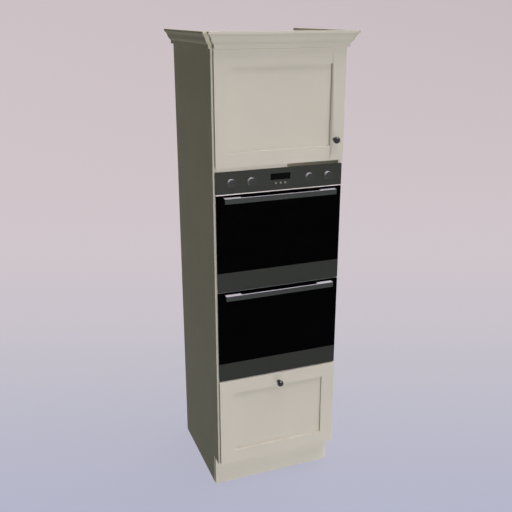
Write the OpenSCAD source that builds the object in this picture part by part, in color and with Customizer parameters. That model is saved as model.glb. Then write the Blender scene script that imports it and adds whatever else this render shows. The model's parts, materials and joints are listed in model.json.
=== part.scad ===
// Tall oven housing unit: a cupboard with a framed door on top, a built-in
// double oven in the middle and a deep pan drawer below, on a recessed plinth
// and under a flared cornice.
// Sizes are millimetres. Local frame: x = 0 on the centre line, y = 0 on the
// front edges of the side panels with +y into the depth, z = 0 on the floor.
// place() moves that frame so that the origin is the bottom centre of the box.

/* [Carcass] */
// Width over the side panels
unit_w = 600; // [590:1:620]
// Depth of the side panels
unit_d = 575; // [565:1:600]
// Height of the side panels above the cornice's bottom edge
carcass_rise = 44; // [30:1:50]
// Thickness of the carcass boards
board_t = 18; // [16:0.5:19]
// Thickness of the back panels
back_t = 8; // [6:0.5:10]
// Depth of the rebate that the back panels sit in
back_rebate = 10; // [6:0.5:12]
// Height of the toe space
toe_h = 150; // [120:1:170]
// Depth of the toe space in front of the plinth
toe_d = 53; // [40:1:70]
// Thickness of the plinth board
plinth_t = 18; // [15:0.5:19]
// Inset of each plinth end from the side panel's face
plinth_inset = 1.5; // [0:0.5:4]
// Gap between the plinth board and the base panel
plinth_gap = 1; // [0.5:0.5:4]
// Height of the rail behind the top of the cupboard door
top_rail_h = 60; // [40:1:80]
// Height of each rail across the open back
back_rail_h = 90; // [60:1:100]
// Height of the lower back rail above the oven shelf
back_rail_up = 40; // [20:1:80]
// Cut-back of the oven shelf, which lets air rise behind the oven
shelf_cutback = 50; // [30:1:70]

/* [Shelf] */
// Inset of the loose shelf from the carcass front
shelf_setback = 25; // [10:1:60]
// Side clearance of the loose shelf
shelf_side_gap = 1; // [0.5:0.25:2]
// Radius of a shelf pin
pin_r = 2.45; // [2:0.05:3]
// Radial clearance of a shelf pin in its hole
pin_gap = 0.05; // [0.02:0.01:0.1]
// Depth of a shelf pin hole
pin_hole = 10; // [8:0.5:12]
// Length of a shelf pin inside the cupboard
pin_out = 8; // [6:0.5:12]
// Spacing of the pin holes
pin_pitch = 32; // [25:1:40]
// Number of pin holes in a row
pin_rows = 7; // [3:2:9]
// Height of the lowest pin hole above the cupboard floor
pin_first = 120; // [80:1:150]
// Distance of the front pin holes from the carcass front
pin_front = 60; // [45:1:90]
// Distance of the rear pin holes from the back panel
pin_rear = 60; // [45:1:90]

/* [Framed fronts] */
// Distance of the fronts' side edges from the carcass edges
front_reveal = 7; // [5:0.5:10]
// Thickness of the frames
front_t = 18; // [18:0.5:22]
// Gap between a closed front and the carcass
front_gap = 2.5; // [2.5:0.25:3.5]
// Width of the stiles and rails
frame_w = 64.5; // [55:0.5:75]
// Thickness of the centre panels
panel_t = 4; // [3:0.25:5]
// Depth of the centre panel's face behind the frame's face
panel_recess = 12; // [8:0.5:12]
// Depth of the panel grooves
groove_d = 8; // [6:0.5:12]
// Clearance at the bottom of the panel grooves
groove_gap = 0.5; // [0.2:0.1:1]
// Height of the drawer front's bottom edge above the toe space
drawer_lift = 9; // [5:0.5:14]
// Height of the drawer front
drawer_front_h = 439.5; // [420:0.5:460]
// Height of the cupboard door
door_h = 475; // [460:0.5:500]

/* [Pull knobs] */
// Diameter of the ball
ball_d = 30; // [24:0.5:34]
// Reach of the knob in front of the door
ball_reach = 38; // [34:0.5:44]
// Radius of the stem
stem_r = 5; // [4:0.25:7]
// Radius of the rose
rose_r = 9; // [7:0.5:12]
// Thickness of the rose
rose_t = 3; // [2:0.25:4]
// Radius of the fixing screw
screw_r = 2; // [1.5:0.25:2.5]
// Radius of the fixing screw's head
screw_head_r = 4; // [3.5:0.25:5]
// Thickness of the fixing screw's head
screw_head_t = 1.2; // [0.8:0.1:1.5]
// Radial clearance around the fixing screw
screw_gap = 0.1; // [0.05:0.05:0.5]
// Distance of the door knob from the door's right edge
door_knob_in = 43; // [35:1:50]
// Height of the door knob above the door's bottom edge
door_knob_up = 91; // [70:1:120]
// Distance of the drawer knob below the drawer front's top edge
drawer_knob_down = 45; // [35:1:50]

/* [Cupboard hinges] */
// Distance of the hinge pins from the door's left edge
axis_in = 5.7; // [5.5:0.1:6]
// Distance of the hinge pins ahead of the door's rear face
axis_fwd = 6.5; // [6:0.25:7.5]
// Radius of a hinge pin
pivot_r = 1.5; // [1.2:0.1:1.8]
// Radial clearance of a hinge pin
pivot_gap = 0.05; // [0.02:0.01:0.1]
// Outer radius of a hinge arm's eye
arm_eye_r = 2.6; // [2.3:0.1:2.8]
// Clearance around the eye in the cup's pocket
eye_clear = 0.4; // [0.3:0.05:0.5]
// Wall of the cup's pocket
pocket_wall = 1.2; // [0.8:0.1:1.2]
// Height of the cup's pocket
pocket_h = 16; // [14:0.5:20]
// Radius of a hinge cup
cup_r = 17.5; // [16:0.5:18]
// Depth of a hinge cup
cup_depth = 11.5; // [11:0.5:13]
// Wall of a hinge cup
cup_wall = 1.5; // [1:0.25:2]
// Radial clearance of a hinge cup in the stile
cup_gap = 0.05; // [0.02:0.01:0.1]
// Distance of a cup's centre from the door's edge
cup_in = 22.5; // [21:0.5:24]
// Height of a hinge cup's flange
flange_h = 62; // [56:1:70]
// Width of a hinge cup's flange
flange_w = 28; // [24:1:32]
// Thickness of a hinge cup's flange
flange_t = 1; // [0.6:0.1:1.2]
// Distance of a hinge from the door's end
hinge_end = 100; // [80:1:130]
// Thickness of a hinge arm
arm_t = 1.8; // [1.5:0.1:1.8]
// Height of a hinge arm
arm_h = 10; // [8:0.5:11]
// Distance of a hinge arm's long leg from its pin
arm_off = 10; // [9.5:0.25:11]
// Distance of a mounting plate from the carcass front
plate_back = 25; // [15:1:35]
// Length of a mounting plate
plate_len = 44; // [30:1:50]
// Height of a mounting plate
plate_h = 50; // [40:1:60]
// Thickness of a mounting plate
plate_t = 9; // [7:0.5:10]

/* [Cornice] */
// Height of the cornice
cornice_h = 65; // [55:1:80]
// Reach of the cornice over the side panels
cornice_out = 42; // [35:1:55]
// Thickness of the bottom lip
lip_t = 12; // [8:0.5:16]
// Height of the bottom lip
lip_h = 15; // [10:0.5:20]
// Height of the top fillet
fillet_h = 9; // [6:0.5:14]
// Swell of the flare's double curve
ogee_swell = 2.5; // [0:0.25:4]
// Depth of the rebate in the inner face, above the carcass
rebate_w = 8; // [2:0.5:12]
// Width of a return's end that shows beside the front length
return_show = 18; // [10:0.5:24]
// Gap between the cupboard door and the cornice
cornice_gap = 2; // [1.5:0.5:5]

/* [Brackets] */
// Long leg of an angle bracket
bracket_long = 30; // [24:1:40]
// Short leg of an angle bracket
bracket_short = 20; // [18:1:21]
// Width of an angle bracket
bracket_w = 40; // [30:1:50]
// Thickness of an angle bracket
bracket_t = 2; // [1.5:0.25:2.5]
// Radius of a bracket's holes
bracket_hole_r = 2.75; // [2:0.25:3]
// Distance of each wall bracket from the centre line
bracket_x = 230; // [150:5:240]

/* [Drawer] */
// Height of the drawer box
box_h = 200; // [140:1:240]
// Height of the drawer box above the base panel
box_up = 17; // [10:1:30]
// Length of the drawer box
box_len = 500; // [420:1:520]
// Thickness of the drawer box boards
box_t = 15; // [12:0.5:16]
// Thickness of the drawer bottom
floor_t = 8; // [6:0.5:10]
// Height of the drawer bottom inside the box
floor_up = 8; // [5:0.5:15]
// Width of the space for a runner at each side
runner_w = 12.5; // [12.5:0.1:13]
// Height of a runner
runner_h = 45; // [40:1:50]
// Length of a runner
runner_len = 480; // [400:1:500]
// Sheet thickness of the runners
runner_t = 1.5; // [1.2:0.1:1.6]
// Sliding clearance between the runner members
runner_gap = 0.3; // [0.2:0.05:0.4]
// Distance of the runners from the carcass front
runner_set = 15; // [5:1:20]
// Height of the runners' middle above the drawer box's bottom
runner_up = 60; // [40:1:90]

/* [Oven front] */
// Reach of the oven front ahead of the carcass
fascia_out = 15; // [14:0.5:17]
// Gap between the oven front and the carcass
fascia_gap = 1; // [0.5:0.25:1.5]
// Gap between the drawer front and the oven doors
oven_gap = 4; // [3.5:0.25:6]
// Height of the oven's feet plane above the drawer front's top
oven_seat = 1.5; // [1:0.25:3]
// Height of an oven door
oven_door_h = 437.5; // [430:0.5:450]
// Height of the steel band at the foot of an oven door
band_h = 88.5; // [80:0.5:95]
// Gap between the two oven doors
oven_door_gap = 4; // [3.5:0.25:6]
// Gap between the upper oven door and the control panel
panel_gap = 5; // [4:0.25:7]
// Height of the control panel
control_h = 94.5; // [90:0.5:100]
// Open gap between the control panel and the cupboard door
vent_gap = 18; // [12:0.5:24]
// Thickness of the outer door glass
glass_t = 4; // [3:0.25:4.5]
// Thickness of the steel band
band_t = 3; // [2.5:0.1:3]
// Chamfer along the band's bottom edge
band_chamfer = 1.5; // [1:0.25:2]
// Sheet thickness of the control panel
control_t = 2; // [1.5:0.25:2.5]

/* [Oven handles] */
// Length of a handle
handle_len = 521; // [480:1:540]
// Height of a handle
handle_h = 23; // [18:0.5:26]
// Reach of a handle in front of the glass
handle_reach = 25; // [22:0.5:32]
// Thickness of a handle's bar
handle_bar = 8; // [6:0.5:10]
// Length of a handle's end blocks
handle_block = 75; // [40:1:90]
// Distance of a handle below the door's top edge
handle_down = 9.5; // [6:0.5:20]

/* [Oven door] */
// Height of the door frame's bottom edge above the glass and band
frame_up = 16; // [14:0.5:20]
// Inset of the door frame from the glass edges
frame_in = 2; // [1:0.5:4]
// Distance of the part that enters the niche from the side panels
plug_side = 20; // [20:0.5:26]
// Depth of the part that enters the niche
plug_depth = 20; // [16:0.5:21]
// Height of that part above the door's bottom edge
plug_up = 34; // [30:0.5:40]
// Distance of that part below the door's top edge
plug_down = 12; // [8:0.5:20]
// Half width of the door window
window_half = 200; // [160:1:210]
// Height of the window's bottom edge above the door's bottom edge
window_up = 112; // [100:1:120]
// Distance of the window's top edge below the door's top edge
window_down = 88; // [70:1:100]
// Seat of the inner glass around the window
inner_seat = 12; // [8:0.5:16]
// Thickness of the inner glass
inner_t = 4; // [3:0.25:5]
// Distance of the hinge pins behind the door's face
oven_pin_back = 7; // [6.5:0.25:7]
// Height of the hinge pins above the door's bottom edge
oven_pin_up = 6.5; // [6:0.25:6.5]
// Radius of a hinge pin
oven_pin_r = 2; // [1.5:0.1:2]
// Radial clearance of a hinge pin
oven_pin_gap = 0.05; // [0.02:0.01:0.1]
// Radius of the hinge eyes
eye_r = 3; // [2.8:0.1:3.2]
// Gap between the part that enters the niche and the hinge eyes
eye_gap = 4; // [3:0.5:5]
// Thickness of the hinge eyes
eye_t = 3; // [2:0.25:4]
// Width of the boss that carries a hinge pin
boss_w = 10; // [8:0.5:14]
// Sheet thickness of the door frame's pans
pan_wall = 1.5; // [1:0.25:2]

/* [Oven body] */
// Gap between the casing and each side panel
casing_side = 4; // [3:0.5:6]
// Distance of the casing's front plate behind the carcass front
casing_front = 24; // [24:0.5:26]
// Air gap between the casing and the rails across the open back
rear_air = 9; // [8:0.5:20]
// Distance of the casing's top below the upper door's top edge
casing_down = 33.5; // [30:0.5:45]
// Depth of the control housing behind the carcass front
housing_d = 80; // [60:1:85]
// Height of the control housing's top above the control panel's bottom edge
housing_up = 73.5; // [65:0.5:80]
// Gap between the upper door and the control housing's floor
housing_gap = 2.5; // [2:0.25:4]
// Sheet thickness of the casing and the cavities
sheet = 1.2; // [0.8:0.1:1.5]
// Half width of a cavity
cavity_half = 220; // [200:1:225]
// Distance of a cavity's top below its door's top edge
cavity_down = 81; // [75:0.5:90]
// Height of a cavity above its door's bottom edge
cavity_up = 61.5; // [58:0.5:70]
// Width of a cavity's front flange
cavity_flange = 14; // [10:0.5:18]
// Number of shelf levels
level_count = 4; // [3:1:5]
// Height of the lowest shelf level above the cavity floor
level_first = 60; // [40:1:70]
// Spacing of the shelf levels
level_pitch = 55; // [40:1:55]
// Reach of the shelf ledges into the cavity
ledge_out = 6; // [4:0.5:8]
// Height of a shelf ledge
ledge_h = 4; // [3:0.5:6]
// Width of the door seal
seal_w = 9; // [7:0.5:10]
// Gap between the door and the seal
seal_gap = 0.3; // [0.2:0.1:0.5]

/* [Oven fittings] */
// Level that each wire shelf rests on, counted from 0
rack_level = 1; // [0:1:2]
// Radius of a wire shelf's frame wire
rack_wire_r = 3; // [2.5:0.25:3.5]
// Radius of a wire shelf's cross wires
cross_wire_r = 1.5; // [1.25:0.25:2]
// Spacing of the cross wires
cross_pitch = 26; // [20:1:40]
// Depth of a wire shelf
rack_d = 340; // [300:1:360]
// Gap between a wire shelf and the fan
rack_rear_gap = 20; // [10:0.5:30]
// Side clearance of a wire shelf
rack_side_gap = 2; // [1:0.5:3]
// Radius of a heating element's tube
element_r = 3.5; // [3:0.25:4]
// Spacing of a heating element's runs
element_pitch = 60; // [50:1:70]
// Distance of a heating element below the cavity's top
element_down = 16; // [12:0.5:24]
// Length of a heating element's runs
element_len = 300; // [240:1:330]
// Radius of the fan
fan_r = 72; // [60:1:80]
// Depth of the fan's blades
blade_d = 16; // [10:0.5:20]
// Number of fan blades
blade_count = 10; // [6:1:14]
// Thickness of the fan's blades and disc
blade_t = 1.2; // [0.8:0.1:1.5]
// Gap between the fan and the rear wall
fan_gap = 5; // [3:0.5:8]
// Radius of the fan's hub
hub_r = 11; // [9:0.5:14]
// Radius of the fan's shaft
shaft_r = 4; // [3:0.25:5]
// Radial clearance of the fan's shaft
shaft_gap = 0.05; // [0.02:0.01:0.1]
// Radius of a fan motor
motor_r = 34; // [28:1:40]
// Length of a fan motor
motor_len = 46; // [40:1:60]

/* [Controls] */
// Distance of the outer knobs from the control panel's ends
dial_in = 68.5; // [60:0.5:75]
// Spacing of the knobs in each pair
dial_pitch = 90; // [75:0.5:95]
// Height of the knobs above the control panel's bottom edge
dial_up = 47.5; // [44:0.5:50]
// Radius of a knob
dial_r = 17.5; // [15:0.5:19]
// Depth of a knob
dial_d = 18; // [14:0.5:20]
// Gap between a knob and the control panel
dial_gap = 0.5; // [0.3:0.1:1]
// Width of a knob's pointer rib
pointer_w = 3; // [2:0.25:4]
// Height of a knob's pointer rib
pointer_t = 1; // [0.6:0.1:1.5]
// Radius of a knob's shaft
spindle_r = 3; // [2.5:0.25:3.5]
// Radial clearance of a knob's shaft
spindle_gap = 0.05; // [0.02:0.01:0.1]
// Length of a knob's shaft behind the control panel
spindle_len = 16; // [12:0.5:20]
// Side of a rotary switch
switch_side = 30; // [26:0.5:34]
// Depth of a rotary switch
switch_d = 25; // [22:0.5:30]
// Width of the display
display_w = 92; // [80:1:100]
// Height of the display
display_h = 28; // [24:0.5:32]
// Height of the display above the control panel's bottom edge
display_up = 45.5; // [42:0.5:50]
// Spacing of the push-buttons
button_pitch = 21.5; // [18:0.5:24]
// Height of the push-buttons above the control panel's bottom edge
button_up = 31.5; // [28:0.5:34]
// Radius of a push-button
button_r = 4.5; // [3.5:0.25:5]
// Reach of a push-button in front of the control panel
button_out = 3; // [2.5:0.25:4]
// Radial clearance of a push-button
button_gap = 0.1; // [0.05:0.01:0.1]
// Travel of a push-button
button_travel = 1.5; // [1:0.25:2]
// Thickness of a push-button's collar
collar_t = 1; // [0.8:0.1:1.2]
// Extra radius of a push-button's collar
collar_w = 1.5; // [1:0.25:2]
// Depth of the control board's case
board_case_d = 11; // [9:0.5:11.5]

/* [Hidden] */
$fn = 64;
eps = 1;                              // overrun of cutting solids

half_w = unit_w / 2;
front_w = unit_w - 2 * front_reveal;
inner_half = half_w - board_t;        // half width between the side panels
front_y = -(front_gap + front_t);     // face of the framed fronts
front_back_y = -front_gap;            // rear of the framed fronts
panel_y0 = front_y + panel_recess;    // face of the centre panels
panel_y1 = panel_y0 + panel_t;        // rear of the centre panels
rear_in = unit_d - back_t;            // front face of the back panels

drawer_z0 = toe_h + drawer_lift;
drawer_z1 = drawer_z0 + drawer_front_h;
shelf_z1 = drawer_z1 + oven_seat;     // top of the oven shelf
low_z0 = drawer_z1 + oven_gap;        // bottom of the lower oven door
low_z1 = low_z0 + oven_door_h;
up_z0 = low_z1 + oven_door_gap;       // bottom of the upper oven door
up_z1 = up_z0 + oven_door_h;
control_z0 = up_z1 + panel_gap;
control_z1 = control_z0 + control_h;
door_z0 = control_z1 + vent_gap;      // bottom of the cupboard door
door_z1 = door_z0 + door_h;
cupboard_floor_rise = 1;              // the door hangs this much lower
floor_z0 = door_z0 + cupboard_floor_rise;
floor_z1 = floor_z0 + board_t;
cornice_z0 = door_z1 + cornice_gap;
unit_h = cornice_z0 + carcass_rise;
base_z1 = toe_h + board_t;

// The cornice's front length hangs ahead of the framed fronts, and its
// returns end this far behind it.
cornice_base = -front_y;
front_reach = max(ball_reach - front_y, cornice_base + cornice_out,
                  fascia_out + handle_reach);
y_shift = -(unit_d - front_reach) / 2;

glass_y0 = -fascia_out;               // face of the oven doors
frame_y1 = -fascia_gap;               // rear of what overlaps the carcass
pin_y = glass_y0 + oven_pin_back;     // axis of the oven doors
cup_x = -front_w / 2 + cup_in;
hinge_zs = [door_z0 + hinge_end, door_z1 - hinge_end];
hinge_x = -front_w / 2 + axis_in;
hinge_y = front_back_y - axis_fwd;
plug_half = inner_half - plug_side;
plug_y1 = plug_depth;
eye_x = plug_half + eye_gap;
dial_x = front_w / 2 - dial_in;
dial_xs = [-dial_x, dial_pitch - dial_x, dial_x - dial_pitch, dial_x];
dial_z = control_z0 + dial_up;
panel_back = glass_y0 + control_t;    // rear face of the control panel's sheet
casing_z0 = shelf_z1;
casing_z1 = up_z1 - casing_down;
casing_half = inner_half - casing_side;
casing_rear = unit_d - board_t - rear_air;
cavity_h = oven_door_h - cavity_up - cavity_down;
cavity_y0 = casing_front + sheet;
rack_y0 = cavity_y0 + cavity_flange + 2 * rack_wire_r;
fan_y0 = rack_y0 + rack_d + rack_wire_r + rack_rear_gap;
cavity_rear = fan_y0 + blade_d + fan_gap;
housing_z0 = up_z1 + housing_gap;
housing_z1 = control_z0 + housing_up;

// ---- helpers ----

module place() { translate([0, y_shift, 0]) children(); }

module box(x0, x1, y0, y1, z0, z1) {
    translate([x0, y0, z0]) cube([x1 - x0, y1 - y0, z1 - z0]);
}

module both() {
    children();
    mirror([1, 0, 0]) children();
}

module rod_x(r, x0, x1, y, z) {
    translate([x0, y, z]) rotate([0, 90, 0]) cylinder(r = r, h = x1 - x0);
}

module rod_y(r, y0, y1, x, z) {
    translate([x, y0, z]) rotate([-90, 0, 0]) cylinder(r = r, h = y1 - y0);
}

module rod_z(r, z0, z1, x, y) {
    translate([x, y, z0]) cylinder(r = r, h = z1 - z0);
}

// ---- carcass ----

function pin_z(row) = floor_z1 + pin_first + row * pin_pitch;
pin_ys = [pin_front, rear_in - pin_rear];
shelf_row = floor(pin_rows / 2);
shelf_z = pin_z(shelf_row) + pin_r;

module side_panel() {
    color([0.74, 0.72, 0.68]) difference() {
        box(-half_w, -inner_half, 0, unit_d, 0, unit_h);
        box(-half_w - eps, -inner_half + eps, -eps, toe_d + plinth_t, -eps, toe_h);
        box(-inner_half - back_rebate, -inner_half + eps, rear_in, unit_d + eps,
            toe_h, unit_h + eps);
        for (y = pin_ys, row = [0 : pin_rows - 1])
            rod_x(pin_r + pin_gap, -inner_half - pin_hole, -inner_half + eps,
                  y, pin_z(row));
    }
}

module side_panel_left() { place() side_panel(); }

module side_panel_right() { place() mirror([1, 0, 0]) side_panel(); }

module carcass_board(z0, y1) {
    color([0.80, 0.78, 0.74]) place()
        box(-inner_half, inner_half, 0, y1, z0, z0 + board_t);
}

module top_panel() { carcass_board(unit_h - board_t, rear_in); }

module cupboard_floor() { carcass_board(floor_z0, rear_in); }

module oven_shelf() { carcass_board(shelf_z1 - board_t, rear_in - shelf_cutback); }

module base_panel() { carcass_board(toe_h, rear_in); }

// The upper panel reaches down to the rail behind the oven's top. Below that
// rail the niche's back stays open for ventilation.
module back_panels() {
    color([0.76, 0.74, 0.70]) place() difference() {
        for (z = [[toe_h, shelf_z1], [casing_z1, unit_h]])
            box(-inner_half - back_rebate, inner_half + back_rebate,
                rear_in, unit_d, z[0], z[1]);
        for (x = [-bracket_x, bracket_x])
            rod_y(bracket_hole_r, rear_in - eps, unit_d + eps, x,
                  unit_h - board_t - (bracket_short + bracket_t) / 2);
    }
}

module carcass_rails() {
    color([0.80, 0.78, 0.74]) place() {
        box(-inner_half, inner_half, 0, board_t,
            unit_h - board_t - top_rail_h, unit_h - board_t);
        for (z = [shelf_z1 + back_rail_up, casing_z1 - back_rail_h])
            box(-inner_half, inner_half, unit_d - board_t, unit_d,
                z, z + back_rail_h);
    }
}

module loose_shelf() {
    color([0.80, 0.78, 0.74]) place()
        box(-inner_half + shelf_side_gap, inner_half - shelf_side_gap,
            shelf_setback, rear_in - shelf_side_gap, shelf_z, shelf_z + board_t);
}

module shelf_pins() {
    color([0.75, 0.76, 0.78]) place() both()
        for (y = pin_ys)
            rod_x(pin_r, -inner_half - pin_hole, -inner_half + pin_out,
                  y, pin_z(shelf_row));
}

module plinth_board() {
    color([0.73, 0.70, 0.65]) place()
        box(-half_w + plinth_inset, half_w - plinth_inset,
            toe_d, toe_d + plinth_t, 0, toe_h - plinth_gap);
}

// A steel angle: its long leg lies on z = 0 along -y, its short leg stands.
module angle_bracket() {
    difference() {
        union() {
            box(-bracket_w / 2, bracket_w / 2, -bracket_long, 0, 0, bracket_t);
            box(-bracket_w / 2, bracket_w / 2, -bracket_t, 0, 0, bracket_short);
        }
        for (x = [-bracket_w / 4, bracket_w / 4])
            rod_z(bracket_hole_r, -eps, bracket_t + eps, x, -bracket_long * 0.6);
        rod_y(bracket_hole_r, -bracket_t - eps, eps, 0,
              (bracket_short + bracket_t) / 2);
    }
}

module angle_brackets() {
    color([0.70, 0.71, 0.73]) place() both() {
        translate([bracket_x, rear_in, unit_h - board_t])
            mirror([0, 0, 1]) angle_bracket();
        translate([inner_half, toe_d + plinth_t, toe_h / 2])
            rotate([0, -90, 0]) rotate([0, 0, 180]) angle_bracket();
    }
}

// ---- cornice ----

ogee_steps = 14;
function ogee_s(t) = lip_t + (cornice_out - lip_t) * t + ogee_swell * sin(360 * t);

// Points are [reach ahead of the carcass, height above the cornice's bottom].
cornice_face = concat(
    [[lip_t, 0], [lip_t, lip_h]],
    [for (i = [1 : ogee_steps - 1])
        let (t = i / ogee_steps)
        [ogee_s(t), lip_h + (cornice_h - fillet_h - lip_h) * t]],
    [[cornice_out, cornice_h - fillet_h], [cornice_out, cornice_h]]);
cornice_inner = [[rebate_w, cornice_h], [rebate_w, carcass_rise],
                 [0, carcass_rise], [0, 0]];

function moved(points, by) = [for (p = points) [p.x + by, p.y]];

// The same face, overrun at its bottom and top.
function overrun(face) = concat([[face[0].x, -eps]], face,
                                [[face[len(face) - 1].x, cornice_h + eps]]);

module along_front(points) {
    reach = half_w + cornice_out + eps;
    translate([reach, 0, cornice_z0]) rotate([90, 0, -90])
        linear_extrude(2 * reach) polygon(points);
}

// A return's end follows the same profile as its outer face.
module left_return() {
    intersection() {
        translate([-half_w, -cornice_out - eps, cornice_z0])
            rotate([90, 0, 180]) linear_extrude(unit_d + cornice_out + eps)
            polygon(concat(cornice_face, cornice_inner));
        along_front(concat([[-unit_d - eps, -eps]], overrun(cornice_face),
                           [[-unit_d - eps, cornice_h + eps]]));
    }
}

// The front length's ends follow the profile too, and show the returns' ends.
module front_length_ends() {
    side = overrun(moved(cornice_face, half_w - return_show));
    depth = cornice_base + cornice_out + eps;
    translate([0, eps, cornice_z0]) rotate([90, 0, 0])
        linear_extrude(depth + eps)
        polygon(concat(side, [for (i = [len(side) - 1 : -1 : 0])
                                 [-side[i].x, side[i].y]]));
}

module cornice_front() {
    color([0.74, 0.72, 0.68]) place() difference() {
        intersection() {
            along_front(concat(moved(cornice_face, cornice_base), cornice_inner));
            front_length_ends();
        }
        both() left_return();
    }
}

module cornice_returns() {
    color([0.74, 0.72, 0.68]) place() both() left_return();
}

// ---- framed fronts ----

module front_stile(z0, z1) {
    difference() {
        box(-front_w / 2, -front_w / 2 + frame_w, front_y, front_back_y, z0, z1);
        box(-front_w / 2 + frame_w - groove_d, -front_w / 2 + frame_w + eps,
            panel_y0, panel_y1, z0 + frame_w - groove_d, z1 - frame_w + groove_d);
    }
}

module front_rail(z0, groove_z0) {
    difference() {
        box(-front_w / 2 + frame_w, front_w / 2 - frame_w,
            front_y, front_back_y, z0, z0 + frame_w);
        box(-front_w / 2, front_w / 2, panel_y0, panel_y1,
            groove_z0, groove_z0 + groove_d + eps);
    }
}

module front_rails(z0, z1) {
    color([0.74, 0.72, 0.68]) place() {
        front_rail(z0, z0 + frame_w - groove_d);
        difference() {
            front_rail(z1 - frame_w, z1 + eps);
            box(-front_w / 2, front_w / 2, panel_y0, panel_y1,
                z1 - frame_w - eps, z1 - frame_w + groove_d);
            children();
        }
    }
}

module front_panel(z0, z1) {
    reach = groove_d - groove_gap;
    color([0.74, 0.72, 0.69]) place()
        box(-front_w / 2 + frame_w - reach, front_w / 2 - frame_w + reach,
            panel_y0, panel_y1, z0 + frame_w - reach, z1 - frame_w + reach);
}

door_knob_x = front_w / 2 - door_knob_in;
door_knob_z = door_z0 + door_knob_up;
drawer_knob_z = drawer_z1 - drawer_knob_down;

module knob_hole(x, z) {
    rod_y(screw_r + screw_gap, front_y - eps, eps, x, z);
}

module pull_knob(x, z) {
    color([0.12, 0.12, 0.12]) place() {
        rod_y(rose_r, front_y - rose_t, front_y, x, z);
        rod_y(stem_r, front_y - ball_reach + ball_d / 2, front_y, x, z);
        translate([x, front_y - ball_reach + ball_d / 2, z]) sphere(d = ball_d);
        rod_y(screw_r, front_y - rose_t, front_back_y, x, z);
        rod_y(screw_head_r, front_back_y, front_back_y + screw_head_t, x, z);
    }
}

// The outline of a hinge cup and of the pocket beside it, grown by g.
module cup_outline(g, y1, z) {
    pocket = arm_eye_r + eye_clear + pocket_wall + g;
    rod_y(cup_r + g, front_back_y - cup_depth, y1, cup_x, z);
    box(hinge_x - pocket, cup_x, front_back_y - cup_depth, y1,
        z - pocket_h / 2 - g, z + pocket_h / 2 + g);
}

module cupboard_door_stiles() {
    color([0.74, 0.72, 0.68]) place() {
        difference() {
            front_stile(door_z0, door_z1);
            for (z = hinge_zs) cup_outline(cup_gap, front_back_y + eps, z);
        }
        difference() {
            mirror([1, 0, 0]) front_stile(door_z0, door_z1);
            knob_hole(door_knob_x, door_knob_z);
        }
    }
}

module cupboard_door_rails() { front_rails(door_z0, door_z1); }

module cupboard_door_panel() { front_panel(door_z0, door_z1); }

module cupboard_door_knob() { pull_knob(door_knob_x, door_knob_z); }

module hinge_cups() {
    clear = arm_eye_r + eye_clear;
    flange_x = cup_x + cup_r + 4 - flange_w;
    color([0.72, 0.73, 0.75]) place() for (z = hinge_zs) {
        difference() {
            union() {
                cup_outline(0, front_back_y, z);
                box(flange_x, flange_x + flange_w, front_back_y,
                    front_back_y + flange_t, z - flange_h / 2, z + flange_h / 2);
            }
            rod_y(cup_r - cup_wall, front_back_y - cup_depth + cup_wall, eps, cup_x, z);
            box(hinge_x - clear, cup_x, hinge_y - clear, eps,
                z - pocket_h / 2 + pocket_wall, z + pocket_h / 2 - pocket_wall);
        }
        rod_z(pivot_r, z - pocket_h / 2, z + pocket_h / 2, hinge_x, hinge_y);
    }
}

module hinge_arms() {
    leg_x = hinge_x + arm_off;
    color([0.72, 0.73, 0.75]) place() for (z = hinge_zs) difference() {
        union() {
            rod_z(arm_eye_r, z - arm_h / 2, z + arm_h / 2, hinge_x, hinge_y);
            box(hinge_x, leg_x + arm_t / 2, hinge_y - arm_t / 2, hinge_y + arm_t / 2,
                z - arm_h / 2, z + arm_h / 2);
            box(leg_x - arm_t / 2, leg_x + arm_t / 2, hinge_y - arm_t / 2,
                plate_back + plate_len, z - arm_h / 2, z + arm_h / 2);
            box(-inner_half, -inner_half + plate_t, plate_back,
                plate_back + plate_len, z - plate_h / 2, z + plate_h / 2);
        }
        rod_z(pivot_r + pivot_gap, z - arm_h, z + arm_h, hinge_x, hinge_y);
    }
}

// ---- drawer ----

box_half = inner_half - runner_w;     // half width over the drawer box
box_z0 = base_z1 + box_up;
box_y1 = front_back_y + box_len;
runner_z = box_z0 + runner_up;

module drawer_front_stiles() {
    color([0.73, 0.70, 0.65]) place() both() front_stile(drawer_z0, drawer_z1);
}

module drawer_front_rails() {
    front_rails(drawer_z0, drawer_z1) knob_hole(0, drawer_knob_z);
}

module drawer_front_panel() { front_panel(drawer_z0, drawer_z1); }

module drawer_knob() { pull_knob(0, drawer_knob_z); }

module drawer_sides() {
    color([0.85, 0.84, 0.82]) place() both()
        box(-box_half, -box_half + box_t, front_back_y, box_y1,
            box_z0, box_z0 + box_h);
}

module drawer_back() {
    color([0.85, 0.84, 0.82]) place()
        box(-box_half + box_t, box_half - box_t, box_y1 - box_t, box_y1,
            box_z0, box_z0 + box_h);
}

module drawer_floor() {
    color([0.80, 0.79, 0.77]) place()
        box(-box_half + box_t, box_half - box_t, front_back_y, box_y1 - box_t,
            box_z0 + floor_up, box_z0 + floor_up + floor_t);
}

// The runner's section, from the side panel inwards: an outer channel, a
// stepped middle bar and an inner channel on the drawer box.
runner_top = runner_h / 2;
outer_lip = runner_w / 2;                                  // depth of its lips
middle_top = runner_top - runner_t - runner_gap;
inner_top = middle_top - runner_t - 2 * runner_gap;        // inner lips' outside
core_top = inner_top - runner_t - runner_gap;

module runner_bar(x0, x1, top) {
    both() box(-inner_half + x0, -inner_half + x1, runner_set,
               runner_set + runner_len, runner_z - top, runner_z + top);
}

module runner_outer() {
    color([0.66, 0.67, 0.69]) place() difference() {
        runner_bar(0, outer_lip, runner_top);
        both() box(-inner_half + runner_t, -inner_half + outer_lip + eps,
                   runner_set - eps, runner_set + runner_len + eps,
                   runner_z - runner_top + runner_t, runner_z + runner_top - runner_t);
    }
}

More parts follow.
